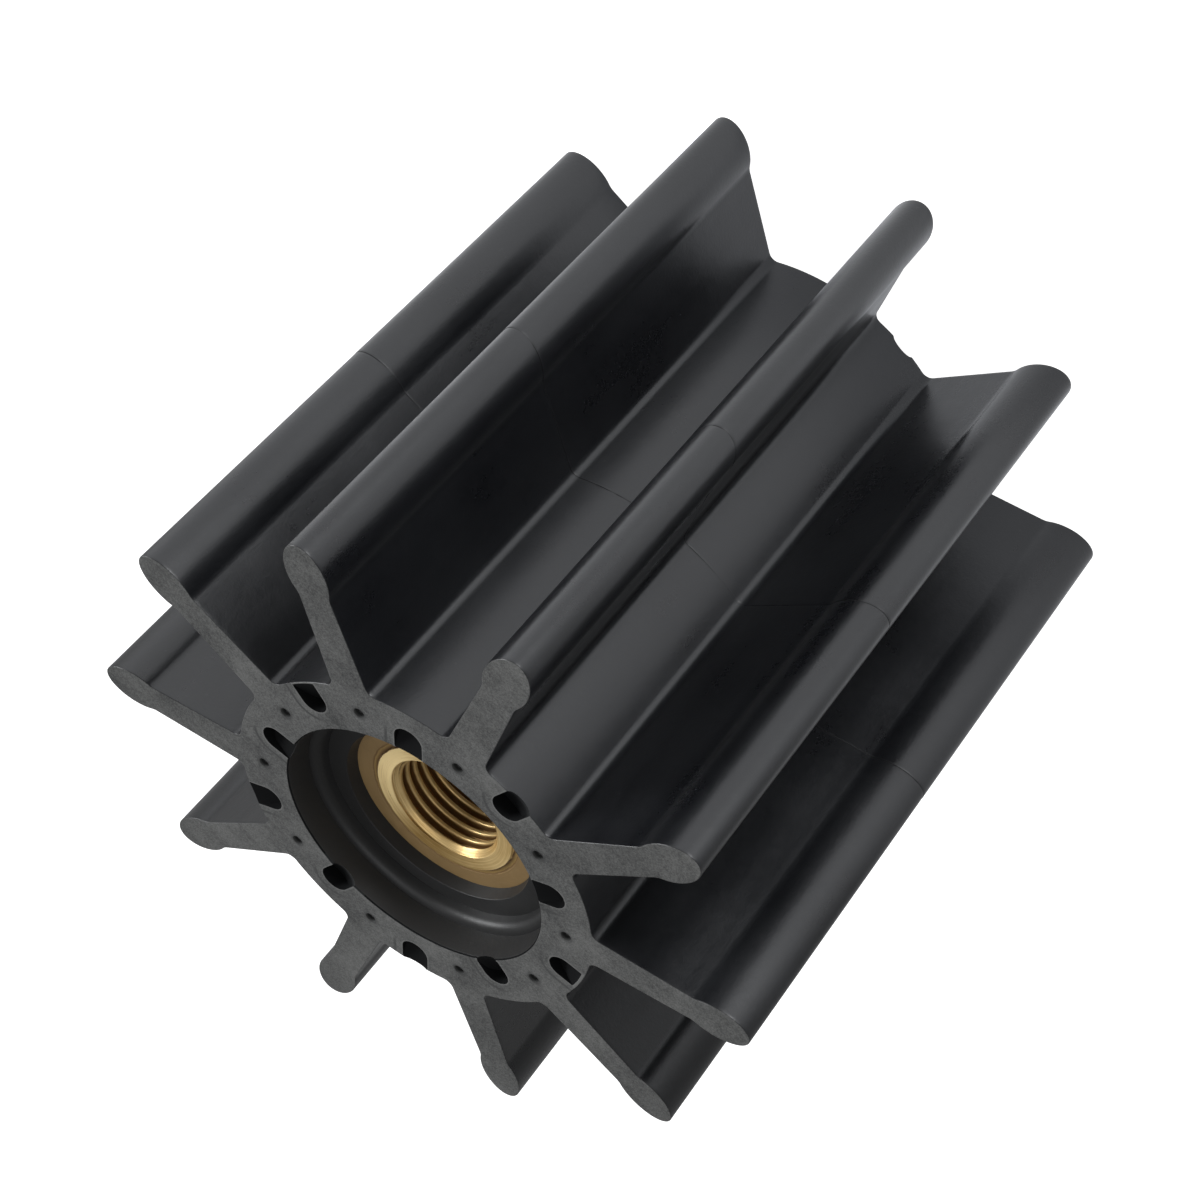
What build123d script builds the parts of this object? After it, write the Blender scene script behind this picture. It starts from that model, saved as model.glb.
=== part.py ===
"""Flexible pump impeller: a moulded rubber wheel bonded on a turned and splined brass insert.

Millimetres. +Z runs along the axis of rotation towards the threaded end, the origin is where the
axis meets the rear face, and the first blade lies on +X.
"""

import os
from math import hypot

from build123d import *

os.makedirs("parts", exist_ok=True)

# ---- overall ----
outside_diameter = 95.0        # over the blade tips, blades relaxed
impeller_length = 90.5         # rear face to front face
blade_count = 10

# ---- blade section ----
web_root_width = 5.35          # web thickness where it leaves the hub
web_neck_width = 4.4           # web thickness where it runs into the bulb
bulb_width = 5.9               # across the sealing bulb
bulb_height = 9.1              # the oval bulb, measured along the blade
root_fillet = 1.3              # web to hub
neck_fillet = 2.5              # web to bulb

# ---- rubber hub ----
hub_radius = 26.0              # bottom of the valleys between blades
recess_mouth_radius = 18.65    # stepped recess in each end face
recess_wall_draft = 0.45       # how far the mouth wall closes in by the ledge
ledge_depth = 3.75             # first ledge, below the end face
ledge_width = 1.2
ledge_nose_chamfer = 0.7
step_draft = 0.4               # how far the step closes in between ledge and floor
floor_depth = 5.6              # recess floor at the foot of the step
floor_rise = 0.35              # how much higher the floor is at its inner edge
lip_radius = 13.2              # opening in the rubber where it meets the brass
lip_flare = 0.4                # how much wider that opening is at the recess floor

# ---- notches and dimples in the end faces ----
notch_width = 3.9
outward_notch_length = 4.7     # closed end to the valley it opens into
inward_notch_length = 4.35     # closed end to the recess it opens into
notch_deep = 2.2               # floor depth at the closed end
notch_break_outs = (0.8, 0.15, 0.9, 0.3, 0.5, 0.1, 0.2, 0.7, 0.15, 0.1)  # floor depth where each breaks out
notch_floor_dish = 0.45        # how much lower the floor is along its middle, at most
dimple_radius = 0.7            # marks of the mould's support pins, front face only
dimple_depth = 0.8

# ---- brass insert ----
insert_radius = 17.0
insert_face_depth = 7.0        # insert end faces, below the rubber end faces
insert_edge_chamfer = 0.8
boss_radius = 10.0             # machined ring around the thread
boss_height = 0.25
thread_major_radius = 8.0      # M16 x 1.5 puller thread, at its minor radius here
thread_minor_radius = 7.2
thread_length = 18.0           # boss face to the end of the thread
relief_length = 3.5            # run-out between thread and splines
relief_clearance = 0.4         # run-out radius beyond the spline roots
spline_teeth = 12
spline_major_radius = 12.5
spline_minor_radius = 11.0
spline_space_width = 3.1
spline_lead_in = 0.3           # lead-in radius beyond the spline roots

# ---- worked out ----
tip_radius = outside_diameter / 2
bulb_centre_radius = tip_radius - bulb_height / 2
valley_pitch = 360 / blade_count
ledge_outer_radius = recess_mouth_radius - recess_wall_draft
ledge_inner_radius = ledge_outer_radius - ledge_width
dimple_circle_radius = (recess_mouth_radius + hub_radius) / 2
cut_over = 1.0                 # how far a cutter runs past the surface it opens

insert_bottom = insert_face_depth
insert_top = impeller_length - insert_face_depth
boss_top = insert_top + boss_height
thread_bottom = boss_top - thread_length
spline_top = thread_bottom - relief_length

front_plane = Plane.XY.offset(impeller_length)
middle_plane = Plane.XY.offset(impeller_length / 2)


# ---- outside of the insert: the brass is turned to it and the rubber is moulded round it ----

with BuildPart() as insert_blank:
    with BuildSketch(Plane.XZ):
        with BuildLine():
            Polyline(
                (0, insert_bottom),
                (insert_radius - insert_edge_chamfer, insert_bottom),
                (insert_radius, insert_bottom + insert_edge_chamfer),
                (insert_radius, insert_top - insert_edge_chamfer),
                (insert_radius - insert_edge_chamfer, insert_top),
                (0, insert_top),
                close=True,
            )
        make_face()
    revolve(axis=Axis.Z)


# ---- stepped recess in the front face, down to the brass ----

with BuildPart() as recess_cutter:
    with BuildSketch(Plane.XZ) as recess_profile:
        with BuildLine():
            Polyline(
                (0, impeller_length + cut_over),
                (recess_mouth_radius, impeller_length + cut_over),
                (recess_mouth_radius, impeller_length),
                (ledge_outer_radius, impeller_length - ledge_depth),
                (ledge_inner_radius, impeller_length - ledge_depth),
                (ledge_inner_radius - step_draft, impeller_length - floor_depth),
                (lip_radius + lip_flare, impeller_length - floor_depth + floor_rise),
                (lip_radius, insert_top),
                (0, insert_top),
                close=True,
            )
        make_face()
        ledge_nose = recess_profile.vertices().sort_by_distance(
            (ledge_inner_radius, impeller_length - ledge_depth)
        )[0]
        chamfer(ledge_nose, ledge_nose_chamfer)
    revolve(axis=Axis.Z)


# ---- notch in the front face, lying along +X ----


def notch_cutter(closed_end, break_out, shallow):
    """Scoop with a full-round closed end and a dished floor that rises to where it breaks out."""
    side = 1 if break_out > closed_end else -1
    round_centre = closed_end + side * notch_width / 2
    run_out = break_out + side * cut_over
    dish = min(notch_floor_dish, shallow)
    dish_radius = ((notch_width / 2) ** 2 + dish**2) / (2 * dish)
    floor_start = Vector(closed_end, 0, impeller_length - notch_deep)
    floor_end = Vector(break_out, 0, impeller_length - shallow)
    floor_line = (floor_end - floor_start).normalized()
    floor_up = Vector(-side * floor_line.Z, 0, side * floor_line.X)
    floor_reach = (floor_end - floor_start).length + notch_width

    with BuildPart() as cutter:
        with BuildSketch(front_plane.offset(cut_over)):
            with Locations((round_centre, 0)):
                Circle(notch_width / 2)
            with Locations(((round_centre + run_out) / 2, 0)):
                Rectangle(abs(run_out - round_centre), notch_width)
        extrude(amount=-(cut_over + notch_deep))
        with BuildSketch(Plane(origin=floor_start + floor_up * dish_radius, z_dir=floor_line)):
            Circle(dish_radius)
        extrude(amount=floor_reach, both=True, mode=Mode.INTERSECT)
    return cutter.part



# ---- rubber: hub and blades in one moulding ----

# The web tapers from root to neck, and starts inside the hub so that the two merge.
web_taper = (web_root_width - web_neck_width) / (bulb_centre_radius - hub_radius)
web_start = hub_radius - web_root_width
web_start_width = web_root_width * (1 + web_taper)

with BuildSketch() as blade_section:
    with BuildLine():
        Polyline(
            (web_start, -web_start_width / 2),
            (bulb_centre_radius, -web_neck_width / 2),
            (bulb_centre_radius, web_neck_width / 2),
            (web_start, web_start_width / 2),
            close=True,
        )
    make_face()
    with Locations((bulb_centre_radius, 0)):
        Ellipse(bulb_height / 2, bulb_width / 2)
    necks = blade_section.vertices().filter_by(
        lambda v: hub_radius + root_fillet < v.X < bulb_centre_radius
    )
    fillet(necks, neck_fillet)

with BuildPart() as rubber_impeller:
    with BuildSketch() as wheel_section:
        Circle(hub_radius)
        with PolarLocations(0, blade_count):
            add(blade_section.sketch)
        roots = wheel_section.vertices().filter_by(
            lambda v: abs(hypot(v.X, v.Y) - hub_radius) < root_fillet / 4
        )
        fillet(roots, root_fillet)
    extrude(amount=impeller_length)

    add(insert_blank.part, mode=Mode.SUBTRACT)
    add(recess_cutter.part, mode=Mode.SUBTRACT)
    mirror(recess_cutter.part, about=middle_plane, mode=Mode.SUBTRACT)

    for valley in range(blade_count):
        shallow = notch_break_outs[valley % len(notch_break_outs)]
        if valley % 2 == 0:
            notch = notch_cutter(recess_mouth_radius + inward_notch_length, recess_mouth_radius, shallow)
        else:
            notch = notch_cutter(hub_radius - outward_notch_length, hub_radius, shallow)
        notch = notch.rotate(Axis.Z, (valley + 0.5) * valley_pitch)
        add(notch, mode=Mode.SUBTRACT)
        mirror(notch, about=middle_plane, mode=Mode.SUBTRACT)

    with BuildSketch(front_plane):
        with PolarLocations(dimple_circle_radius, blade_count):
            Circle(dimple_radius)
    extrude(amount=-dimple_depth, mode=Mode.SUBTRACT)

rubber_impeller.part.label = "rubber_impeller"
export_step(rubber_impeller.part, "parts/rubber_impeller.step")


# ---- brass: threaded mouth, run-out, splined bore ----

with BuildPart() as brass_insert:
    add(insert_blank.part)
    with BuildSketch(Plane.XY.offset(insert_top)):
        Circle(boss_radius)
    extrude(amount=boss_height)

    with BuildSketch(Plane.XY.offset(boss_top)):
        Circle(thread_minor_radius)
    extrude(amount=-thread_length, mode=Mode.SUBTRACT)
    mouth = brass_insert.edges().filter_by(GeomType.CIRCLE).group_by(Axis.Z)[-1].sort_by(SortBy.RADIUS)[0]
    chamfer(mouth, thread_major_radius - thread_minor_radius)

    with BuildSketch(Plane.XY.offset(thread_bottom)):
        Circle(spline_major_radius + relief_clearance)
    extrude(amount=-relief_length, mode=Mode.SUBTRACT)

    with BuildSketch(Plane.XY.offset(spline_top)):
        Circle(spline_minor_radius)
        with PolarLocations(spline_minor_radius, spline_teeth):
            Rectangle(2 * (spline_major_radius - spline_minor_radius) + cut_over, spline_space_width)
        Circle(spline_major_radius, mode=Mode.INTERSECT)
    extrude(amount=insert_bottom - spline_top, mode=Mode.SUBTRACT)

    with BuildSketch(Plane.XZ):
        with BuildLine():
            Polyline(
                (0, insert_bottom),
                (spline_major_radius + spline_lead_in, insert_bottom),
                (0, insert_bottom + spline_major_radius + spline_lead_in),
                close=True,
            )
        make_face()
    revolve(axis=Axis.Z, mode=Mode.SUBTRACT)

brass_insert.part.label = "brass_insert"
export_step(brass_insert.part, "parts/brass_insert.step")
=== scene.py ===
import math

import bmesh
import bpy
from mathutils import Euler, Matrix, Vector


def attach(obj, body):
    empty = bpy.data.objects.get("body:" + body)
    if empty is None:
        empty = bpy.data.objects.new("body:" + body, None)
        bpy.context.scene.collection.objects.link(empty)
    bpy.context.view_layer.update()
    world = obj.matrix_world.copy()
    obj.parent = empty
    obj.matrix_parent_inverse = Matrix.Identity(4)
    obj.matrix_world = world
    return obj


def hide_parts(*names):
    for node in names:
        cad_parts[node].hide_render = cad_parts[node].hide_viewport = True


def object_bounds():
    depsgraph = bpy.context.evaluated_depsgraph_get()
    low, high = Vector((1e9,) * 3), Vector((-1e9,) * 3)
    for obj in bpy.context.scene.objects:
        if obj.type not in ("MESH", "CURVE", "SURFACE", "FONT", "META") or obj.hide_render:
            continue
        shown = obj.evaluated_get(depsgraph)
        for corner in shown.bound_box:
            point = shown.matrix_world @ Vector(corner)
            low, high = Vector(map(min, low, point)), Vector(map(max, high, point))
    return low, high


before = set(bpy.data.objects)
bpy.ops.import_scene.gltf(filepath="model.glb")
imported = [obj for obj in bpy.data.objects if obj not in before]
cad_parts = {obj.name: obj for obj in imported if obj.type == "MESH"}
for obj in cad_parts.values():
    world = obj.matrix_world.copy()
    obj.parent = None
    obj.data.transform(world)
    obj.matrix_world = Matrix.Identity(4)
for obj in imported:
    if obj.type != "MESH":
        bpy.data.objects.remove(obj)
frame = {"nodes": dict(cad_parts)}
cadLow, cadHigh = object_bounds()
rubberCad = frame["nodes"]["rubber_impeller"]
brassCad = frame["nodes"]["brass_insert"]
print("frame loaded:", ", ".join(frame["nodes"]))

mm = 0.001
overCut = 1.0      # mm that a cutter runs past the surface it opens
weld = 5e-7        # metres between points that are made one


# node helpers


class Flow:
    # one socket of a tree; the operators add Math nodes, so maths on it reads as plain Python
    def __init__(self, tree, socket):
        self.tree = tree
        self.socket = socket

    def calc(self, operation, *values):
        return self.tree.add("ShaderNodeMath", {"operation": operation}, dict(enumerate(values)))

    def __add__(self, other):
        return self.calc("ADD", self, other)

    def __radd__(self, other):
        return self.calc("ADD", other, self)

    def __sub__(self, other):
        return self.calc("SUBTRACT", self, other)

    def __rsub__(self, other):
        return self.calc("SUBTRACT", other, self)

    def __mul__(self, other):
        return self.calc("MULTIPLY", self, other)

    def __rmul__(self, other):
        return self.calc("MULTIPLY", other, self)

    def __truediv__(self, other):
        return self.calc("DIVIDE", self, other)

    def __rtruediv__(self, other):
        return self.calc("DIVIDE", other, self)

    def __pow__(self, other):
        return self.calc("POWER", self, other)

    def __abs__(self):
        return self.calc("ABSOLUTE", self)

    def __gt__(self, other):
        return self.calc("GREATER_THAN", self, other)

    def __lt__(self, other):
        return self.calc("LESS_THAN", self, other)

    def smaller(self, other):
        return self.calc("MINIMUM", self, other)

    def larger(self, other):
        return self.calc("MAXIMUM", self, other)

    def clamped(self):
        return self.larger(0.0).smaller(1.0)

    def sine(self):
        return self.calc("SINE", self)

    def cosine(self):
        return self.calc("COSINE", self)

    def wrapped(self, half):
        # an angle brought between -half and half
        return self.calc("WRAP", self, half, -half)

    def fade(self, low, high, outLow=0.0, outHigh=1.0):
        # smooth change from outLow at low to outHigh at high, clamped outside
        return self.tree.add(
            "ShaderNodeMapRange",
            {"interpolation_type": "SMOOTHSTEP"},
            {"Value": self, "From Min": low, "From Max": high, "To Min": outLow, "To Max": outHigh},
        )


class Tree:
    # adds nodes to a shader or geometry tree
    def __init__(self, nodeTree):
        self.nodeTree = nodeTree

    def add(self, kind, settings=None, inputs=None, output=0):
        node = self.nodeTree.nodes.new(kind)
        for name, value in (settings or {}).items():
            if name == "items":
                # an Index Switch starts with two
                for _ in range(value - 2):
                    node.index_switch_items.new()
            else:
                setattr(node, name, value)
        for key, value in (inputs or {}).items():
            socket = node.inputs[key]
            for one in value if isinstance(value, list) else [value]:
                if isinstance(one, Flow):
                    self.nodeTree.links.new(one.socket, socket)
                else:
                    socket.default_value = one
        if len(node.outputs) == 0:
            return node
        return Flow(self, node.outputs[output])

    def sibling(self, flow, output):
        # another output of the node that flow comes from
        return Flow(self, flow.socket.node.outputs[output])


class Finish(Tree):
    # a material built from sockets
    def __init__(self, name):
        self.material = bpy.data.materials.new(name)
        self.material.use_nodes = True
        super().__init__(self.material.node_tree)
        self.nodeTree.nodes.clear()

    def place(self):
        # Object coordinates, and each of them on its own
        spot = self.add("ShaderNodeTexCoord", output="Object")
        x = self.add("ShaderNodeSeparateXYZ", None, {0: spot})
        return spot, x, self.sibling(x, 1), self.sibling(x, 2)

    def noise(self, spot, scale, detail=2.0, roughness=0.5, stretch=None):
        if stretch:
            spot = self.add("ShaderNodeMapping", None, {"Vector": spot, "Scale": stretch})
        return self.add(
            "ShaderNodeTexNoise",
            None,
            {"Vector": spot, "Scale": scale, "Detail": detail, "Roughness": roughness},
        )

    def blend(self, factor, first, second):
        # colour mix
        return self.add(
            "ShaderNodeMix",
            {"data_type": "RGBA"},
            {"Factor": factor, 6: first, 7: second},
            output=2,
        )

    def bump(self, height):
        # height in metres
        inputs = {"Height": height, "Distance": 1.0, "Strength": 1.0}
        return self.add("ShaderNodeBump", None, inputs)

    def surface(self, **inputs):
        # an underscore stands for the space in a socket's name
        named = {name.replace("_", " "): value for name, value in inputs.items()}
        return self.add("ShaderNodeBsdfPrincipled", None, named)

    def finish(self, shader):
        self.add("ShaderNodeOutputMaterial", None, {"Surface": shader})
        return self.material


def grey(value):
    return (value, value, value, 1.0)


# camera

cameraValues = {
    "location": (0.06068867, -0.26148793, 0.22720897),
    "turnDegrees": (-48.0244, 32.99395, -141.36697),
    "lens": 74.459,
    "sensor": 36.0,
    "clip": (0.01, 20.0),
}


def makeCamera(values):
    data = bpy.data.cameras.new("mainCamera")
    data.sensor_width = values["sensor"]
    data.sensor_fit = "HORIZONTAL"
    data.lens = values["lens"]
    data.clip_start, data.clip_end = values["clip"]
    camera = bpy.data.objects.new("mainCamera", data)
    bpy.context.scene.collection.objects.link(camera)
    camera.location = values["location"]
    camera.rotation_euler = Euler([math.radians(a) for a in values["turnDegrees"]], "XYZ")
    bpy.context.scene.camera = camera


makeCamera(cameraValues)
print("camera set")


# floor, world and lamps

studioValues = {
    "floorSize": 6.0,
    "floorTone": 0.82,
    "floorGrain": 0.01,                      # how far the tone varies
    "floorRoughness": 0.9,
    "floorWhite": grey(1.0),                 # glow that the camera sees
    "floorGlow": (0.58, 0.60, 0.64, 1.0),    # glow that reflections find
    "floorDim": grey(0.4),                   # colour that reflections find where there is no glow
    # how that glow fades: from and to in metres, then its share at each if not 0 and 1
    "glowAlongX": (-0.17, 0.0),
    "glowAlongY": (0.02, 0.14, 1.0, 0.0),
    "worldGrey": 0.5,                        # what the world lights the object with
    "worldMirror": 0.08,                     # what reflections find high above the horizon
    "horizonHeight": 0.3,                    # sine of the angle from which they find that
    "lamps": [
        # name, place, size, power; all aim at the middle of the part
        ("topLamp", (0.0, -0.2, 1.0), 0.7, 1.6),
        ("sideLamp", (0.8, 0.3, 0.5), 0.42, 6.6),
        ("lowLamp", (0.14, -0.5, 0.03), 0.2, 1.95),
    ],
    "lampColour": (0.97, 0.985, 1.0),
    "aim": (0.0, 0.0, 0.05),
}


def seenRay(tree):
    # 1 for rays from the camera and for those that a gloss or a glass sends on
    camera = tree.add("ShaderNodeLightPath", output="Is Camera Ray")
    glossy = tree.sibling(camera, "Is Glossy Ray")
    through = tree.sibling(camera, "Is Transmission Ray")
    return camera.larger(glossy).larger(through)


def makeFloor(values):
    half = values["floorSize"] / 2
    corners = [(-half, -half, 0), (half, -half, 0), (half, half, 0), (-half, half, 0)]
    mesh = bpy.data.meshes.new("floor")
    mesh.from_pydata(corners, [], [(0, 1, 2, 3)])
    floor = bpy.data.objects.new("floor", mesh)
    bpy.context.scene.collection.objects.link(floor)

    paper = Finish("floorPaper")
    spot, x, y, _ = paper.place()
    tone, grain = values["floorTone"], values["floorGrain"]
    white = paper.blend(paper.noise(spot, 900.0), grey(tone - grain), grey(tone + grain))
    bright = x.fade(*values["glowAlongX"]) * y.fade(*values["glowAlongY"])
    seen = seenRay(paper)
    glow = paper.blend(seen * bright, grey(0.0), values["floorGlow"])
    camera = paper.add("ShaderNodeLightPath", output="Is Camera Ray")
    shader = paper.surface(
        Base_Color=paper.blend(seen * (1.0 - bright), white, values["floorDim"]),
        Roughness=values["floorRoughness"],
        Emission_Color=paper.blend(camera, glow, values["floorWhite"]),
        Emission_Strength=1.0,
    )
    mesh.materials.append(paper.finish(shader))


def makeWorld(values):
    world = bpy.data.worlds.new("studioWorld")
    bpy.context.scene.world = world
    world.use_nodes = True
    sky = Tree(world.node_tree)
    sky.nodeTree.nodes.clear()
    direction = sky.add("ShaderNodeTexCoord", output="Generated")
    height = sky.sibling(sky.add("ShaderNodeSeparateXYZ", None, {0: direction}), 2)
    camera = sky.add("ShaderNodeLightPath", output="Is Camera Ray")
    mirror = height.fade(0.0, values["horizonHeight"], 1.0, values["worldMirror"]).larger(camera)
    level = values["worldGrey"] + seenRay(sky) * (mirror - values["worldGrey"])
    colour = sky.add("ShaderNodeCombineXYZ", None, {0: level, 1: level, 2: level})
    shader = sky.add("ShaderNodeBackground", None, {"Color": colour, "Strength": 1.0})
    sky.add("ShaderNodeOutputWorld", None, {"Surface": shader})


def makeLamps(values):
    for name, place, size, power in values["lamps"]:
        data = bpy.data.lights.new(name, "AREA")
        data.shape = "DISK"
        data.size = size
        data.energy = power
        data.color = values["lampColour"]
        lamp = bpy.data.objects.new(name, data)
        bpy.context.scene.collection.objects.link(lamp)
        lamp.location = place
        back = Vector(place) - Vector(values["aim"])
        lamp.rotation_euler = back.to_track_quat("Z", "Y").to_euler()
        lamp.visible_camera = False


makeFloor(studioValues)
makeWorld(studioValues)
makeLamps(studioValues)
bpy.context.scene.view_settings.view_transform = "Standard"
print("studio set")


# shapes that both pieces use


def roundCorners(points, steps):
    # points are (x, y) or (x, y, radius); a corner with a radius becomes an arc
    done = []
    last = len(points) - 1
    for number, point in enumerate(points):
        corner = Vector(point[:2])
        radius = point[2] if len(point) > 2 else 0.0
        if radius == 0.0 or number in (0, last):
            done.append(corner)
            continue
        back = (Vector(points[number - 1][:2]) - corner).normalized()
        ahead = (Vector(points[number + 1][:2]) - corner).normalized()
        half = back.angle(ahead) / 2
        reach = radius / math.tan(half)
        middle = corner + (back + ahead).normalized() * (radius / math.sin(half))
        start, end = corner + back * reach - middle, corner + ahead * reach - middle
        sweep = start.angle(end)
        for step in range(steps + 1):
            share = step / steps
            spoke = start * math.sin((1 - share) * sweep) + end * math.sin(share * sweep)
            done.append(middle + spoke / math.sin(sweep))
    return [tuple(point) for point in done]


def spin(profile, segments):
    # turns (radius, height) points round the axis; both ends on the axis give a closed solid
    build = bmesh.new()
    rings = []
    for radius, height in profile:
        if radius == 0.0:
            rings.append([build.verts.new((0, 0, height))])
            continue
        ring = []
        for number in range(segments):
            angle = 2 * math.pi * number / segments
            x, y = radius * math.cos(angle), radius * math.sin(angle)
            ring.append(build.verts.new((x, y, height)))
        rings.append(ring)
    for upper, lower in zip(rings, rings[1:]):
        for number in range(segments):
            following = (number + 1) % segments
            if len(upper) == 1:
                face = (upper[0], lower[number], lower[following])
            elif len(lower) == 1:
                face = (upper[number], lower[0], upper[following])
            else:
                face = (upper[number], lower[number], lower[following], upper[following])
            build.faces.new(face)
    return build


def meshObject(name, build):
    # build is in millimetres
    mesh = bpy.data.meshes.new(name)
    bmesh.ops.scale(build, vec=(mm, mm, mm), verts=build.verts)
    build.to_mesh(mesh)
    build.free()
    thing = bpy.data.objects.new(name, mesh)
    bpy.context.scene.collection.objects.link(thing)
    return thing


def drop(thing):
    mesh = thing.data
    bpy.data.objects.remove(thing)
    bpy.data.meshes.remove(mesh)


def newGeometryTree(name, sizes):
    # a Geometry Nodes group with named inputs: {name: (socket type, default)}
    group = bpy.data.node_groups.new(name, "GeometryNodeTree")
    group.interface.new_socket("Geometry", in_out="INPUT", socket_type="NodeSocketGeometry")
    for label, (kind, default) in sizes.items():
        socket = group.interface.new_socket(label, in_out="INPUT", socket_type=kind)
        socket.default_value = default
    group.interface.new_socket("Geometry", in_out="OUTPUT", socket_type="NodeSocketGeometry")
    tree = Tree(group)
    source = group.nodes.new("NodeGroupInput")
    inputs = {label: Flow(tree, source.outputs[label]) for label in ["Geometry", *sizes]}
    return tree, inputs


def finishGeometryTree(tree, geometry, material):
    # every tree ends the same way
    real = tree.add("GeometryNodeRealizeInstances", None, {0: geometry})
    dressed = tree.add("GeometryNodeSetMaterial", None, {"Geometry": real, "Material": material})
    tree.add("NodeGroupOutput", None, {0: dressed})


def runGeometry(thing, tree, values):
    # puts the tree on the object, sets its inputs, and turns the result into a plain mesh
    modifier = thing.modifiers.new(tree.nodeTree.name, "NODES")
    modifier.node_group = tree.nodeTree
    for item in tree.nodeTree.interface.items_tree:
        if item.item_type == "SOCKET" and item.in_out == "INPUT" and item.name in values:
            modifier[item.identifier] = values[item.name]
    settle(thing)


def settle(thing):
    # applies the modifiers
    bpy.context.view_layer.update()
    evaluated = thing.evaluated_get(bpy.context.evaluated_depsgraph_get())
    mesh = bpy.data.meshes.new_from_object(evaluated)
    old = thing.data
    thing.modifiers.clear()
    thing.data = mesh
    mesh.name = thing.name
    bpy.data.meshes.remove(old)


def copiesRound(tree, geometry, count, firstAngle):
    # evenly round the axis
    index = tree.add("GeometryNodeInputIndex")
    points = tree.add(
        "GeometryNodePoints", None, {"Count": count, "Position": (0, 0, 0), "Radius": mm}
    )
    angle = firstAngle + index * (2 * math.pi) / count
    turn = tree.add("ShaderNodeCombineXYZ", None, {"Z": angle})
    copies = tree.add(
        "GeometryNodeInstanceOnPoints",
        None,
        {"Points": points, "Instance": geometry, "Rotation": turn},
    )
    return tree.add("GeometryNodeRealizeInstances", None, {0: copies})


def ringTree(material):
    # copies round the axis, and a second set mirrored to the rear face if asked
    tree, inputs = newGeometryTree(
        "ringOfCopies",
        {
            "Count": ("NodeSocketInt", 10),
            "First Angle": ("NodeSocketFloat", 0.0),
            "Rear Too": ("NodeSocketBool", False),
            "Length": ("NodeSocketFloat", 0.09),
        },
    )
    front = copiesRound(tree, inputs["Geometry"], inputs["Count"], inputs["First Angle"])
    lift = tree.add("ShaderNodeCombineXYZ", None, {"Z": inputs["Length"]})
    rear = tree.add(
        "GeometryNodeTransform",
        None,
        {"Geometry": front, "Translation": lift, "Scale": (1, 1, -1)},
    )
    rear = tree.add("GeometryNodeFlipFaces", None, {"Mesh": rear})
    asked = {"Switch": inputs["Rear Too"], "True": rear}
    rear = tree.add("GeometryNodeSwitch", {"input_type": "GEOMETRY"}, asked)
    both = tree.add("GeometryNodeJoinGeometry", None, {0: [front, rear]})
    finishGeometryTree(tree, both, material)
    return tree


def cut(thing, cutter):
    modifier = thing.modifiers.new("cut", "BOOLEAN")
    modifier.operation = "DIFFERENCE"
    modifier.solver = "MANIFOLD"
    modifier.object = cutter
    settle(thing)
    drop(cutter)


def dress(thing, material):
    # one material all over
    thing.data.materials.clear()
    thing.data.materials.append(material)
    for polygon in thing.data.polygons:
        polygon.material_index = 0


def shadeByAngle(thing, degrees, flatHeights):
    # smooth below the angle; the edges of the flat faces at those heights stay sharp, so that
    # those faces stay flat
    mesh = thing.data
    mesh.shade_smooth()
    mesh.set_sharp_from_angle(angle=math.radians(degrees))
    build = bmesh.new()
    build.from_mesh(mesh)
    for face in build.faces:
        height = face.calc_center_median().z
        level = abs(face.normal.z) > 0.9999
        if level and any(abs(height - flat) < 1e-6 for flat in flatHeights):
            for edge in face.edges:
                edge.smooth = False
    build.to_mesh(mesh)
    build.free()


# rubber wheel

wheelValues = {
    "bladeCount": 10,
    "length": 90.5,
    "tipRadius": 47.5,
    "hubRadius": 26.0,
    "webRootWidth": 5.35,
    "webNeckWidth": 4.4,
    "bulbWidth": 5.9,
    "bulbHeight": 9.1,
    "rootFillet": 1.3,
    "neckFillet": 2.5,
    "bulbSteps": 28,
    "neckSteps": 8,
    "rootSteps": 10,
    "valleySteps": 10,
    "edgeRound": 0.12,         # worn edge of the end faces
    "partingHeight": 48.4,     # where the mould halves met
    "partingGroove": 0.035,    # depth of the line that they left
    "partingStep": 0.02,       # how much slimmer the front half is
    "mouthRadius": 18.65,
    # half of the stepped recess: radius, depth below the end face, corner radius
    "recess": [
        (18.85, 0.0), (18.65, 0.2, 0.2), (18.2, 3.7), (17.0, 3.75, 1.4), (16.6, 5.6),
        (13.6, 5.25, 0.12), (13.2, 7.0),
    ],
    "recessSegments": 240,
    "seatRadius": 17.0,
    "seatChamfer": 0.8,
}

notchValues = {
    "width": 3.9,
    "inward": (23.0, 18.65),   # closed end, break-out; every other valley
    "outward": (21.3, 26.0),
    "deep": 2.2,
    # depth at the break-out, valley by valley; a negative one leaves a thin bridge at the rim
    "shallow": [0.8, 0.12, 0.9, 0.3, 0.5, -0.2, 0.2, 0.7, 0.15, -0.1],
    "dish": 0.45,
    "leastDish": 0.05,
    "upturn": 0.5,             # rise of the floor beside the walls, as a share of the dish
    "roundSteps": 10,          # round the closed end
    "straightSteps": 6,        # from there past the break-out
    "acrossSteps": 10,
    # a pin mark: radius and depth down its wall, across its floor and up the nub in the middle
    "dimple": [(0.76, 0.0), (0.68, 0.14), (0.62, 0.55), (0.32, 0.6), (0.2, 0.36), (0.0, 0.3)],
    "dimpleCircle": 22.325,
    "dimpleSegments": 28,
}


def arc(middle, radius, start, end, steps):
    first, last = math.atan2(start.y, start.x), math.atan2(end.y, end.x)
    turn = (last - first + math.pi) % (2 * math.pi) - math.pi
    angles = [first + turn * step / steps for step in range(steps + 1)]
    return [(middle.x + radius * math.cos(a), middle.y + radius * math.sin(a)) for a in angles]


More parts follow.
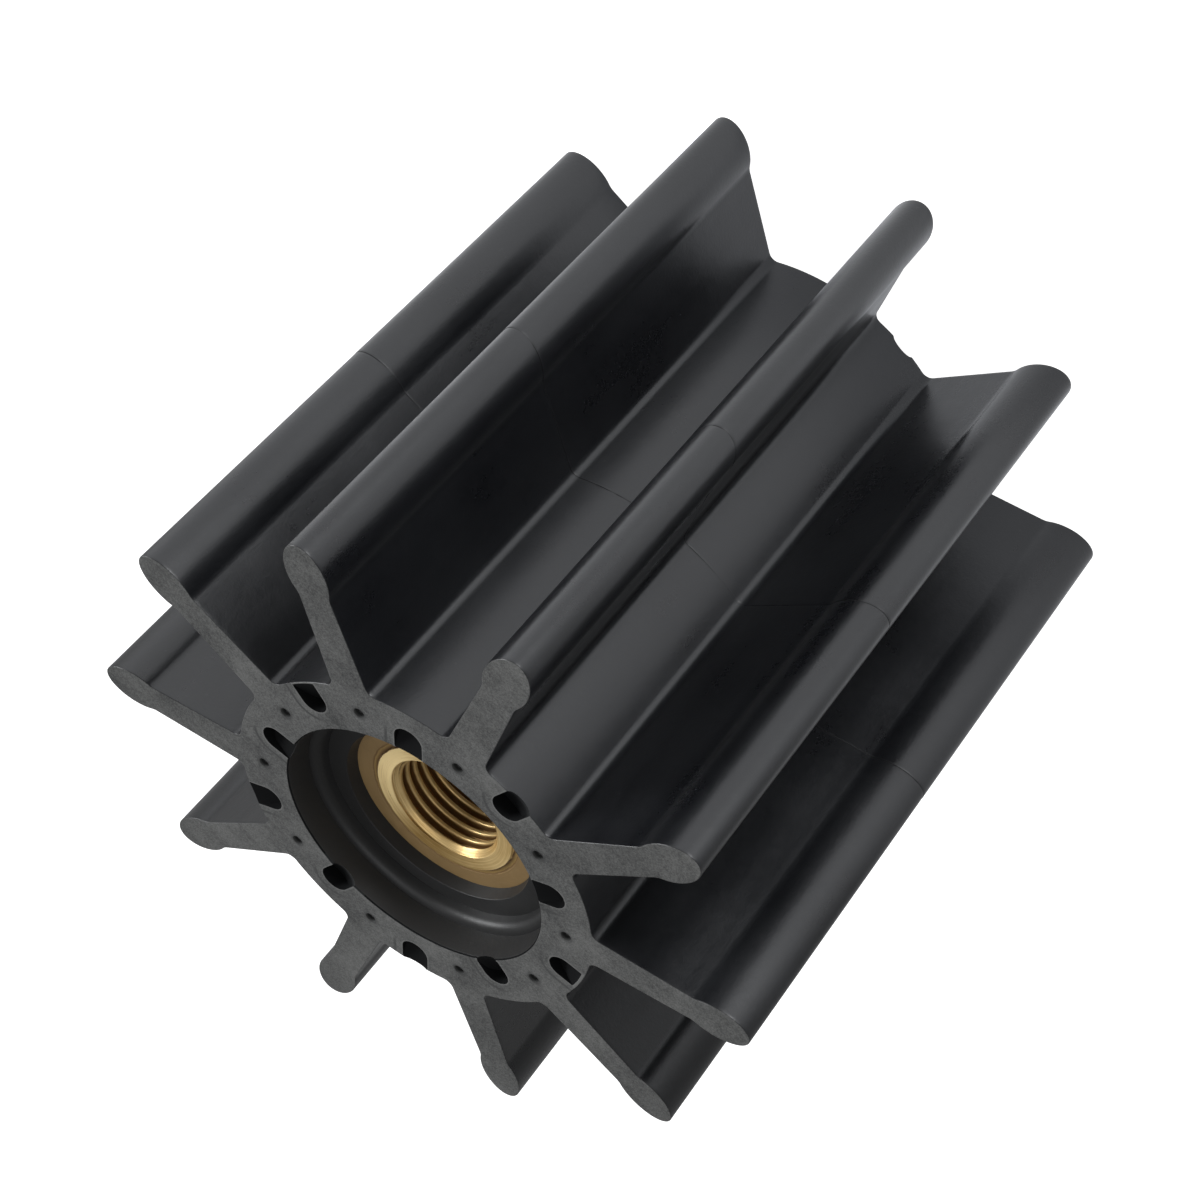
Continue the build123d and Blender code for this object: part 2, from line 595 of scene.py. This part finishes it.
def bladePitch(values):
    # outline from the middle of one valley to the next, the blade lying along +X
    hub, tip = values["hubRadius"], values["tipRadius"]
    high, wide = values["bulbHeight"] / 2, values["bulbWidth"] / 2
    middle = tip - high
    root, neck = values["webRootWidth"] / 2, values["webNeckWidth"] / 2
    rootRadius, neckRadius = values["rootFillet"], values["neckFillet"]
    along = Vector((middle - hub, neck - root)).normalized()
    outward = Vector((-along.y, along.x))
    onWeb = Vector((hub, root))

    def onBulb(angle):
        return middle + high * math.cos(angle), wide * math.sin(angle)

    # root arc: touches the web line and the hub circle
    reach = hub + rootRadius
    base = onWeb + outward * rootRadius
    shift = -base.dot(along) + math.sqrt(base.dot(along) ** 2 - base.dot(base) + reach ** 2)
    rootMiddle = base + along * shift

    # neck arc: touches the web line and the oval bulb, which is followed in quarters of a degree
    bulb = [onBulb(math.radians(quarter / 4)) for quarter in range(4 * 180 + 1)]
    low, far = 0.0, middle - hub
    for _ in range(40):
        guess = (low + far) / 2
        centre = onWeb + outward * neckRadius + along * guess
        gap = min(math.hypot(centre.x - x, centre.y - y) for x, y in bulb)
        low, far = (guess, far) if gap > neckRadius else (low, guess)
    neckMiddle = onWeb + outward * neckRadius + along * low
    gaps = [math.hypot(neckMiddle.x - x, neckMiddle.y - y) for x, y in bulb]
    touch = gaps.index(min(gaps))

    steps = values["bulbSteps"]
    half = [onBulb(math.radians(touch / 4) * step / steps) for step in range(steps + 1)]
    fromBulb = Vector(half[-1]) - neckMiddle
    half += arc(neckMiddle, neckRadius, fromBulb, -outward, values["neckSteps"])[1:]
    half += arc(rootMiddle, rootRadius, -outward, -rootMiddle, values["rootSteps"])
    start = math.atan2(half[-1][1], half[-1][0])
    end = math.pi / values["bladeCount"]
    steps = values["valleySteps"]
    for step in range(1, steps + 1):
        angle = start + (end - start) * step / steps
        half.append((hub * math.cos(angle), hub * math.sin(angle)))
    return [(x, -y) for x, y in reversed(half)] + half[1:]


def wheelTree(material):
    # sweeps the side profile round the closed outline and fills both ends
    tree, inputs = newGeometryTree(
        "impellerWheel",
        {
            "Blades": ("NodeSocketInt", 10),
            "Length": ("NodeSocketFloat", 0.0905),
            "Edge Round": ("NodeSocketFloat", 0.0001),
            "Parting Height": ("NodeSocketFloat", 0.048),
            "Groove": ("NodeSocketFloat", 0.00005),
            "Step": ("NodeSocketFloat", 0.00003),
        },
    )
    edge, height = inputs["Edge Round"], inputs["Length"]
    parting, groove, step = inputs["Parting Height"], inputs["Groove"], inputs["Step"]

    def spot(across, up):
        # the sweep turns the profile half round
        return tree.add("ShaderNodeCombineXYZ", None, {"X": across * -1.0, "Y": up * -1.0})

    ring = copiesRound(tree, inputs["Geometry"], inputs["Blades"], 0.0)
    ring = tree.add("GeometryNodeMergeByDistance", None, {"Geometry": ring, "Distance": 4 * weld})
    outline = tree.add("GeometryNodeMeshToCurve", None, {"Mesh": ring})
    outline = tree.add("GeometryNodeSetCurveNormal", {"mode": "Z_UP"}, {"Curve": outline})

    # side profile from the rear edge up: the rows beside a rounding or the groove keep the
    # shading of the long faces flat
    beside, near = 0.0004, 0.0001
    corners = [
        spot(edge, 0.0), spot(0.0, 0.0), spot(0.0, edge + beside),
        spot(0.0, parting - beside), spot(0.0, parting - near), spot(groove, parting),
        spot(step, parting + near), spot(step, parting + beside),
        spot(step, height - edge - beside), spot(step, height), spot(step + edge, height),
    ]
    index = tree.add("GeometryNodeInputIndex")
    line = tree.add("GeometryNodeMeshLine", None, {"Count": len(corners)})
    corner = tree.add(
        "GeometryNodeIndexSwitch",
        {"data_type": "VECTOR", "items": len(corners)},
        {"Index": index, **{str(number): place for number, place in enumerate(corners)}},
    )
    line = tree.add("GeometryNodeSetPosition", None, {"Geometry": line, "Position": corner})
    profile = tree.add("GeometryNodeMeshToCurve", None, {"Mesh": line})
    atRear = index.calc("COMPARE", index, 1, 0.1)
    atFront = index.calc("COMPARE", index, len(corners) - 2, 0.1)
    rounding = {"Curve": profile, "Count": 4, "Radius": atRear.larger(atFront) * edge}
    profile = tree.add("GeometryNodeFilletCurve", {"mode": "POLY"}, rounding)
    side = tree.add("GeometryNodeCurveToMesh", None, {"Curve": outline, "Profile Curve": profile})
    side = tree.add("GeometryNodeFlipFaces", None, {"Mesh": side})

    tangent = tree.add("GeometryNodeInputTangent")
    inward = tree.add(
        "ShaderNodeVectorMath", {"operation": "CROSS_PRODUCT"}, {0: (0, 0, 1), 1: tangent}
    )

    def cap(inset, up):
        offset = tree.add(
            "ShaderNodeVectorMath", {"operation": "SCALE"}, {0: inward, "Scale": inset}
        )
        ring = tree.add("GeometryNodeSetPosition", None, {"Geometry": outline, "Offset": offset})
        face = tree.add("GeometryNodeFillCurve", {"mode": "NGONS"}, {"Curve": ring})
        return tree.add("GeometryNodeTransform", None, {"Geometry": face, "Translation": up})

    rear = tree.add("GeometryNodeFlipFaces", None, {"Mesh": cap(edge, (0, 0, 0))})
    front = cap(step + edge, tree.add("ShaderNodeCombineXYZ", None, {"Z": height}))
    parts = tree.add("GeometryNodeJoinGeometry", None, {0: [side, rear, front]})
    joining = {"Geometry": parts, "Distance": 2 * weld}
    closed = tree.add("GeometryNodeMergeByDistance", None, joining)
    finishGeometryTree(tree, closed, material)
    return tree


def recessAndSeat(values):
    # one turned cutter: front recess, opening down to the brass, seat of the insert, and the
    # same at the rear
    length, seat, chamfer = values["length"], values["seatRadius"], values["seatChamfer"]
    down = roundCorners(values["recess"], 6)
    front = [(r, length - d) for r, d in down]
    rear = [(r, d) for r, d in reversed(down)]
    foot = values["recess"][-1][1]
    corners = [
        (seat - chamfer, length - foot), (seat, length - foot - chamfer),
        (seat, foot + chamfer), (seat - chamfer, foot),
    ]
    top = [(0.0, length + overCut), (front[0][0], length + overCut)]
    bottom = [(rear[-1][0], -overCut), (0.0, -overCut)]
    return spin(top + front + corners + rear + bottom, values["recessSegments"])


def notchCutter(values, closedEnd, breakOut, shallow, length):
    # lofted scoop along +X with a full-round closed end; each station is a place along it and
    # half the width there
    side = 1 if breakOut > closedEnd else -1
    half = values["width"] / 2
    stations = []
    for step in range(1, values["roundSteps"] + 1):
        angle = math.pi / 2 * step / values["roundSteps"]
        stations.append((closedEnd + side * half * (1 - math.cos(angle)), half * math.sin(angle)))
    start, runOut = stations[-1][0], breakOut + side * overCut
    for step in range(1, values["straightSteps"] + 1):
        stations.append((start + (runOut - start) * step / values["straightSteps"], half))
    across = values["acrossSteps"]
    dish = max(min(values["dish"], shallow), values["leastDish"])
    build = bmesh.new()
    floors, tops = [], []
    for x, wide in stations:
        share = (x - closedEnd) / (breakOut - closedEnd)
        depth = values["deep"] + (shallow - values["deep"]) * share
        floor, top = [], []
        for step in range(across + 1):
            y = wide * (2 * step / across - 1)
            out = abs(y) / half
            rise = dish * out ** 2 + values["upturn"] * dish * out ** 8
            floor.append(build.verts.new((x, y, length - depth + rise)))
            top.append(build.verts.new((x, y, length + overCut)))
        floors.append(floor)
        tops.append(top)
    for rows, way in ((floors, side), (tops, -side)):
        for a, b in zip(rows, rows[1:]):
            for step in range(across):
                quad = (a[step], a[step + 1], b[step + 1], b[step])
                build.faces.new(quad if way > 0 else quad[::-1])
    for floor, ahead, top, topAhead in zip(floors, floors[1:], tops, tops[1:]):
        for step in (0, across):
            build.faces.new((floor[step], ahead[step], topAhead[step], top[step]))
    for floor, top in ((floors[0], tops[0]), (floors[-1], tops[-1])):
        for step in range(across):
            build.faces.new((floor[step], floor[step + 1], top[step + 1], top[step]))
    bmesh.ops.recalc_face_normals(build, faces=build.faces)
    return build


def makeWheel(values, notches, material):
    length = values["length"]
    build = bmesh.new()
    points = [build.verts.new((x, y, 0)) for x, y in bladePitch(values)]
    for first, second in zip(points, points[1:]):
        build.edges.new((first, second))
    wheel = meshObject("rubberWheel", build)
    runGeometry(
        wheel,
        wheelTree(material),
        {
            "Blades": values["bladeCount"],
            "Length": length * mm,
            "Edge Round": values["edgeRound"] * mm,
            "Parting Height": values["partingHeight"] * mm,
            "Groove": values["partingGroove"] * mm,
            "Step": values["partingStep"] * mm,
        },
    )
    print("wheel swept:", len(wheel.data.polygons), "faces")
    cut(wheel, meshObject("recessCutter", recessAndSeat(values)))

    ring = ringTree(material)
    pitch = 2 * math.pi / values["bladeCount"]
    for valley, shallow in enumerate(notches["shallow"]):
        closedEnd, breakOut = notches["outward"] if valley % 2 else notches["inward"]
        cutter = meshObject("notch", notchCutter(notches, closedEnd, breakOut, shallow, length))
        place = {"Count": 1, "First Angle": (valley + 0.5) * pitch, "Rear Too": True}
        runGeometry(cutter, ring, {**place, "Length": length * mm})
        cut(wheel, cutter)

    mark = [(r, length - d) for r, d in notches["dimple"]]
    top = [(0.0, length + overCut), (mark[0][0], length + overCut)]
    build = spin(top + mark, notches["dimpleSegments"])
    bmesh.ops.translate(build, vec=(notches["dimpleCircle"], 0, 0), verts=build.verts)
    cutter = meshObject("pinDimples", build)
    runGeometry(cutter, ring, {"Count": values["bladeCount"], "Length": length * mm})
    cut(wheel, cutter)
    dress(wheel, material)
    shadeByAngle(wheel, 35, (0.0, length * mm))
    print("wheel cut:", len(wheel.data.polygons), "faces")
    return wheel


rubberValues = {
    "sideColour": (0.0046, 0.0049, 0.0060, 1.0),
    "sideBloom": (0.0118, 0.0124, 0.0140, 1.0),
    "endColour": (0.034, 0.035, 0.035, 1.0),
    "endPale": (0.126, 0.127, 0.124, 1.0),
    "recessBounceColour": (0.0200, 0.0200, 0.0202, 1.0),
    "notchShadeColour": (0.0065, 0.0068, 0.0074, 1.0),
    "speckAndLitLipColour": (0.024, 0.025, 0.026, 1.0),
    "dimpleColour": (0.052, 0.053, 0.052, 1.0),
    "witnessColour": (0.032, 0.033, 0.033, 1.0),
    "partingColour": grey(0.001),
    "sideRoughness": 0.32,
    "endRoughness": 0.8,
    "recessRoughness": 0.46,
    "notchRoughness": 0.8,
    "notchSpecular": 0.1,        # painted shade: little light gets into the notches, so their copy of the surface is dark and dull
    "openLips": (90, 270),       # degrees; these notches break out deep and their rounded lips get a painted highlight
    "lipReach": 0.2,             # radians to each side of those
    "endMargin": 0.03,           # mm within which a spot counts as on an end face
}


def makeRubber(values, wheel, notches):
    rubber = Finish("mouldedRubber")
    spot, x, y, z = rubber.place()
    length, rim, mouth = cadHigh.z, wheel["hubRadius"] * mm, wheel["mouthRadius"] * mm
    margin = values["endMargin"] * mm
    onEnd = (z > length - margin).larger(z < margin)
    radius = (x * x + y * y) ** 0.5
    angle = x.calc("ARCTAN2", y, x)
    # inside the recesses, and inside the notches and dimples
    inRecess = (radius < mouth + 0.01 * mm) * (1.0 - onEnd)
    inNotch = (radius < rim - 0.08 * mm) * (1.0 - onEnd) * (1.0 - inRecess)
    halfPitch = math.pi / wheel["bladeCount"]
    halfWidth = notches["width"] / 2 * mm

    def nearNotch(valley, closedEnd, breakOut):
        # distance from the outline of the nearest notch of one kind, and the faint mould line
        # that runs round it, drawn only on the far side as painted shade of its small step
        side = 1.0 if closedEnd > breakOut else -1.0
        middle = closedEnd * mm - side * halfWidth
        turn = (angle - (2 * valley + 1) * halfPitch).wrapped(2 * halfPitch)
        along = ((radius * turn.cosine() - middle) * side).larger(0.0)
        across = radius * turn.sine()
        outline = (along * along + across * across) ** 0.5 - halfWidth
        # painted shade: the mould line shows only on the far side of the notch
        shadedFarSide = (y - (angle - turn).sine() * middle).fade(0.4 * mm, 2.6 * mm)
        line = outline.fade(0.9 * mm, 1.1 * mm) * outline.fade(1.2 * mm, 1.6 * mm, 1.0, 0.0)
        return outline, line * shadedFarSide

    inwardOutline, inwardLine = nearNotch(0, *notches["inward"])
    outwardOutline, outwardLine = nearNotch(1, *notches["outward"])
    nearest = inwardOutline.smaller(outwardOutline)
    witness = inwardLine.larger(outwardLine)
    turn = angle.wrapped(halfPitch)
    dimpleX = radius * turn.cosine() - notches["dimpleCircle"] * mm
    dimpleY = radius * turn.sine()
    dimple = (dimpleX * dimpleX + dimpleY * dimpleY) ** 0.5

    dust = rubber.noise(spot, 5200.0, 1.0)
    fine = rubber.noise(spot, 2600.0, 3.0, 0.6)
    grain = rubber.noise(spot, 900.0, 4.0, 0.75)
    broad = rubber.noise(spot, 150.0, 3.0, 0.55)
    cloud = rubber.noise(spot, 45.0, 3.0)
    streak = rubber.noise(spot, 420.0, stretch=(0.25, 2.2, 1.0))
    flow = rubber.noise(spot, 300.0, stretch=(1.0, 1.0, 0.05))
    speck = rubber.noise(spot, 1500.0, 1.0)

    # end faces: dusty grey, with a painted highlight along the notch edges, the mould lines and
    # darker rings round the dimples
    tone = 0.5 + (cloud - 0.5) * 0.9 + (broad - 0.5) * 1.1 + (streak - 0.5) * 0.35
    tone = tone + (grain - 0.5) * 0.75 + (fine - 0.5) * 0.75 + (dust - 0.5) * 1.1
    # painted highlight: the end face is paler along the notch edges
    tone = tone + nearest.fade(0.0, 0.3 * mm, 0.55, 0.0)
    ground = rubber.blend(tone.clamped(), values["endColour"], values["endPale"])
    drawn = (witness * (0.2 + broad)).smaller(1.0)
    ground = rubber.blend(drawn, ground, values["witnessColour"])
    # darker rings round the dimples
    halo = dimple.fade(0.7 * mm, 1.3 * mm, 0.85, 0.0) * fine.fade(0.3, 0.6, 0.35, 1.0)
    ground = rubber.blend(halo, ground, values["witnessColour"])

    # moulded skin: black with a grey bloom, a few specks and the parting line
    bloom = 0.3 + (cloud - 0.5) * 1.6 + (flow - 0.5) * 0.5 + (grain - 0.5) * 0.5
    skin = rubber.blend(bloom.clamped(), values["sideColour"], values["sideBloom"])
    skin = rubber.blend(speck.fade(0.74, 0.8) * 0.35, skin, values["speckAndLitLipColour"])
    parting = abs(z - wheel["partingHeight"] * mm).fade(0.03 * mm, 0.10 * mm, 1.0, 0.0)
    parting = parting * broad.fade(0.38, 0.52, 0.2, 1.0)
    skin = rubber.blend(parting * 0.8, skin, values["partingColour"])

    # notches and dimples: a dark, dull copy of the rubber as painted shade, with a painted
    # highlight on the lips where the notches break out deep, and the dimples paler, painted darker
    # deeper down
    openLip = None
    for degrees in values["openLips"]:
        close = abs((angle - math.radians(degrees)).wrapped(math.pi)) < values["lipReach"]
        openLip = close if openLip is None else openLip.larger(close)
    fromLip = abs(radius - mouth).smaller(abs(radius - rim))
    # painted highlight on the rounded lips of those notches, where they break out
    paintedLipLight = openLip * fromLip.fade(0.2 * mm, 1.6 * mm, 1.0, 0.0)
    deep = rubber.blend(paintedLipLight, values["notchShadeColour"], values["speckAndLitLipColour"])
    # painted shade by depth: the dimples are paler grey near the top of their walls and darker
    # deeper down
    shallow = (z + (grain - 0.5) * (0.3 * mm)).fade(length - 0.35 * mm, length - 0.05 * mm)
    mark = (dimple < 0.9 * mm) * (0.4 + shallow * 0.6)
    deep = rubber.blend(mark, deep, values["dimpleColour"])

    # painted light: the recess is painted lighter than the moulded skin, for light bouncing about
    # inside it
    colour = rubber.blend(inRecess, skin, values["recessBounceColour"])
    colour = rubber.blend(onEnd, colour, ground)
    rough = values["sideRoughness"] + (cloud - 0.5) * 0.24 + (flow - 0.5) * 0.18
    rough = rough + (grain - 0.5) * 0.12 + parting * 0.3
    rough = rough + (values["recessRoughness"] + (broad - 0.5) * 0.15 - rough) * inRecess
    rough = rough + (values["endRoughness"] - rough) * onEnd
    bumped = rubber.bump(fine * 0.000016 + broad * 0.00005 + flow * 0.00001)
    outside = rubber.surface(Base_Color=colour, Roughness=rough, Normal=bumped)
    # painted shade: a dark, dull copy of the rubber for the notches and dimples
    inside = rubber.surface(
        Base_Color=deep,
        Roughness=values["notchRoughness"],
        Specular_IOR_Level=values["notchSpecular"],
        Normal=bumped,
    )
    # the notches take the painted-shade copy; the parting line takes most of it too
    dark = inNotch.larger(parting * 0.75)
    return rubber.finish(rubber.add("ShaderNodeMixShader", None, {0: dark, 1: outside, 2: inside}))


rubberMaterial = makeRubber(rubberValues, wheelValues, notchValues)
wheel = makeWheel(wheelValues, notchValues, rubberMaterial)
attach(wheel, "root")
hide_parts("rubber_impeller")
print("rubber wheel made")


# brass insert

threadValues = {
    "pitch": 1.5,
    "major": 8.0,
    "minor": 7.2,
    "top": 83.75,
    "bottom": 65.75,
    "turns": 13,
    "rows": 16,          # along one turn's profile
    "segments": 144,
    "ease": 0.25,        # how far the crests and roots are rounded
}

faceValues = {
    "faceHeight": 83.5,
    "bossRadius": 10.0,
    "bossTop": 83.75,
    # radius, height, corner radius, from the mouth of the thread to the rim of the face
    "profile": [
        (8.0, 83.75), (10.0, 83.75, 0.1), (10.12, 83.42, 0.04), (10.8, 83.42, 0.05),
        (10.95, 83.5, 0.05), (16.2, 83.5),
    ],
}


def threadTree(material):
    # a grid rolled into a bore whose radius follows the thread's profile along a right-hand helix
    tree, inputs = newGeometryTree(
        "threadedBore",
        {
            "Pitch": ("NodeSocketFloat", 0.0015),
            "Major Radius": ("NodeSocketFloat", 0.008),
            "Minor Radius": ("NodeSocketFloat", 0.0072),
            "Top": ("NodeSocketFloat", 0.0837),
            "Bottom": ("NodeSocketFloat", 0.0657),
            "Turns": ("NodeSocketInt", 13),
            "Rows": ("NodeSocketInt", 16),
            "Segments": ("NodeSocketInt", 96),
            "Ease": ("NodeSocketFloat", 0.3),
        },
    )
    pitch, top, bottom = inputs["Pitch"], inputs["Top"], inputs["Bottom"]
    major, minor = inputs["Major Radius"], inputs["Minor Radius"]
    rows, segments = inputs["Rows"], inputs["Segments"]
    around = segments + 1
    lines = inputs["Turns"] * rows + 1
    size = {"Size X": 1.0, "Size Y": 1.0, "Vertices X": lines, "Vertices Y": around}
    grid = tree.add("GeometryNodeMeshGrid", None, size)
    # each point's row and its place round the turn; the nudge guards against rounding
    nudge = 0.0001
    index = tree.add("GeometryNodeInputIndex")
    row = index / around + nudge
    row = row.calc("FLOOR", row)
    step = index - row * around
    angle = step / segments * (2 * math.pi)
    # profile of one turn: crest, flank, root and flank, as shares of the pitch
    crest, flank = 0.25, 0.3125
    share = row / rows + nudge
    share = share.calc("FRACT", share)
    rise = ((share - crest) / flank).clamped()
    fall = ((1.0 - share) / flank).clamped()
    tooth = rise.smaller(fall)
    soft = tooth * tooth * (3.0 - 2.0 * tooth)
    tooth = tooth + (soft - tooth) * inputs["Ease"]
    height = bottom - pitch + (row / rows + step / segments) * pitch
    chamfer = major - top + height
    radius = (minor + (major - minor) * tooth).larger(chamfer.smaller(major))
    radius = radius - (radius - minor) * (height < bottom)
    held = height.larger(bottom).smaller(top)
    place = tree.add(
        "ShaderNodeCombineXYZ",
        None,
        {"X": radius * angle.cosine(), "Y": radius * angle.sine(), "Z": held},
    )
    wall = tree.add("GeometryNodeSetPosition", None, {"Geometry": grid, "Position": place})
    wall = tree.add("GeometryNodeMergeByDistance", None, {"Geometry": wall, "Distance": weld})
    finishGeometryTree(tree, wall, material)
    return tree


def closeSeams(build):
    # bridges the two open rings at each height, which meet with different counts of points
    seams = {}
    for edge in build.edges:
        if edge.is_boundary:
            seams.setdefault(round(edge.verts[0].co.z, 5), []).append(edge)
    for seam in seams.values():
        bmesh.ops.bridge_loops(build, edges=seam)
    bmesh.ops.remove_doubles(build, verts=build.verts, dist=weld)
    bmesh.ops.recalc_face_normals(build, faces=build.faces)


def makeInsert(cad, thread, face, material):
    # the turned body comes from the CAD node; its plain mouth and front face give way to the
    # real thread and rings
    build = bmesh.new()
    build.from_mesh(cad.data)
    bmesh.ops.remove_doubles(build, verts=build.verts, dist=1e-7)
    away = []
    for part in build.faces:
        middle = part.calc_center_median() / mm
        inMouth = math.hypot(middle.x, middle.y) < thread["major"] + 0.01
        inThread = inMouth and middle.z > thread["bottom"] + 0.01
        if inThread or middle.z > face["faceHeight"] - 0.01:
            away.append(part)
    bmesh.ops.delete(build, geom=away, context="FACES")
    bmesh.ops.scale(build, vec=(1 / mm, 1 / mm, 1 / mm), verts=build.verts)
    insert = meshObject("brassInsert", build)

    bore = meshObject("threadWall", bmesh.new())
    runGeometry(
        bore,
        threadTree(material),
        {
            "Pitch": thread["pitch"] * mm,
            "Major Radius": thread["major"] * mm,
            "Minor Radius": thread["minor"] * mm,
            "Top": thread["top"] * mm,
            "Bottom": thread["bottom"] * mm,
            "Turns": thread["turns"],
            "Rows": thread["rows"],
            "Segments": thread["segments"],
            "Ease": thread["ease"],
        },
    )
    rings = spin(roundCorners(face["profile"], 4), thread["segments"])
    ringFace = meshObject("insertFace", rings)

    build = bmesh.new()
    for part in (bore, ringFace):
        build.from_mesh(part.data)
        drop(part)
    bmesh.ops.remove_doubles(build, verts=build.verts, dist=weld)
    build.from_mesh(insert.data)
    closeSeams(build)
    build.to_mesh(insert.data)
    build.free()
    dress(insert, material)
    shadeByAngle(insert, 40, (face["faceHeight"] * mm, face["bossTop"] * mm))
    print("insert made:", len(insert.data.polygons), "faces")
    return insert


brassValues = {
    "brightColour": (0.50, 0.295, 0.085, 1.0),
    "paleColour": (1.0, 0.77, 0.38, 1.0),
    "filmColour": (0.30, 0.195, 0.080, 1.0),
    "filmDark": (0.20, 0.126, 0.050, 1.0),
    "filmInner": (0.30, 0.190, 0.058, 1.0),
    "stainColour": (0.10, 0.045, 0.014, 1.0),
    "rootShadeColour": (0.19, 0.085, 0.022, 1.0),
    "metal": 0.5,
    "roughness": 0.33,
}


def makeBrass(values, thread, face):
    brass = Finish("turnedBrass")
    spot, x, y, z = brass.place()
    radius = (x * x + y * y) ** 0.5
    major, boss = thread["major"] * mm, face["bossRadius"] * mm
    onFace = (z > (face["faceHeight"] - 0.5) * mm) * (radius > major - 0.1 * mm)
    threadLow, threadHigh = (thread["bottom"] - 0.75) * mm, (thread["top"] - 0.85) * mm
    inThread = (z > threadLow) * (z < threadHigh) * (radius < major + 0.02 * mm)
    fine = brass.noise(spot, 900.0, 3.0, 0.6)
    broad = brass.noise(spot, 170.0, 3.0, 0.6)
    # lathe marks: rings in the radius, a little uneven round the turn
    ringSpot = brass.add("ShaderNodeCombineXYZ", None, {0: radius * 60.0, 1: x * 1.2, 2: y * 1.2})
    rings = brass.noise(ringSpot, 110.0, 3.0, 0.6)

    # the film left by the moulding covers all but the boss, with a ragged stain along its edges
    ragged = (broad - 0.5) * (0.7 * mm) + (fine - 0.5) * (0.3 * mm)
    reach = radius + ragged
    film = onFace * reach.fade(boss + 0.10 * mm, boss + 0.24 * mm)
    side = (x * 0.55 - y * 0.2) / (11.0 * mm)
    stainWidth = 0.3 * mm + side.larger(0.0) * (0.6 * mm)
    inner = reach.fade(boss + 0.02 * mm, boss + 0.10 * mm)
    inner = inner * reach.fade(boss + 0.12 * mm, boss + 0.20 * mm + stainWidth, 1.0, 0.0)
    outer = reach.fade(boss + 0.68 * mm, boss + 0.78 * mm)
    outer = outer * reach.fade(boss + 0.84 * mm, boss + 1.00 * mm, 1.0, 0.0)
    stain = onFace * inner.larger(outer * 0.6)
    filmTone = (broad * 0.8 + fine * 0.5 - 0.3).clamped()
    filmTone = brass.blend(filmTone, values["filmDark"], values["filmColour"])
    nearBoss = reach.fade(boss + 0.70 * mm, boss + 0.95 * mm, 0.8, 0.0)
    filmTone = brass.blend(nearBoss, filmTone, values["filmInner"])

    # painted highlight: the turned faces shine in two opposite fans, one stronger, painted into the
    # colour and the metallic
    angle = x.calc("ARCTAN2", y, x) - math.radians(15)
    paintedFan = ((angle * 2.0).cosine() * 0.3 + angle.cosine() * 0.25 + 0.1) * onFace
    # lathe marks and broad tone, plus the painted highlight of the fans
    latheAndPaintedSheen = 0.4 + paintedFan + (rings - 0.5) * 1.4 + (broad - 0.5) * 0.8
    bright = brass.blend(latheAndPaintedSheen.clamped(), values["brightColour"], values["paleColour"])
    # painted shade: the roots of the thread are painted darker brown, so that only the crests stay
    # bright
    root = inThread * (radius + (fine - 0.5) * (0.2 * mm)).fade(7.30 * mm, 7.55 * mm)
    colour = brass.blend(root * 0.85, bright, values["rootShadeColour"])
    colour = brass.blend(film, colour, filmTone)
    stained = stain * (0.6 + fine * 0.7).smaller(1.0)
    colour = brass.blend(stained, colour, values["stainColour"])
    dull = film.larger(stain)
    metal = brass.surface(
        Base_Color=colour,
        Metallic=(values["metal"] - paintedFan * 0.65) * (1.0 - dull * 0.7) + root * 0.2,
        Roughness=values["roughness"] + (fine - 0.5) * 0.16 + (rings - 0.5) * 0.2 + dull * 0.22,
        Normal=brass.bump(rings * onFace * 0.00003 + fine * 0.000015),
    )
    return brass.finish(metal)


brassMaterial = makeBrass(brassValues, threadValues, faceValues)
insert = makeInsert(brassCad, threadValues, faceValues, brassMaterial)
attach(insert, "root")
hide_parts("brass_insert")
dress(rubberCad, rubberMaterial)
dress(brassCad, brassMaterial)
print("brass insert made")


# last update

bpy.context.view_layer.update()
print("scene ready")
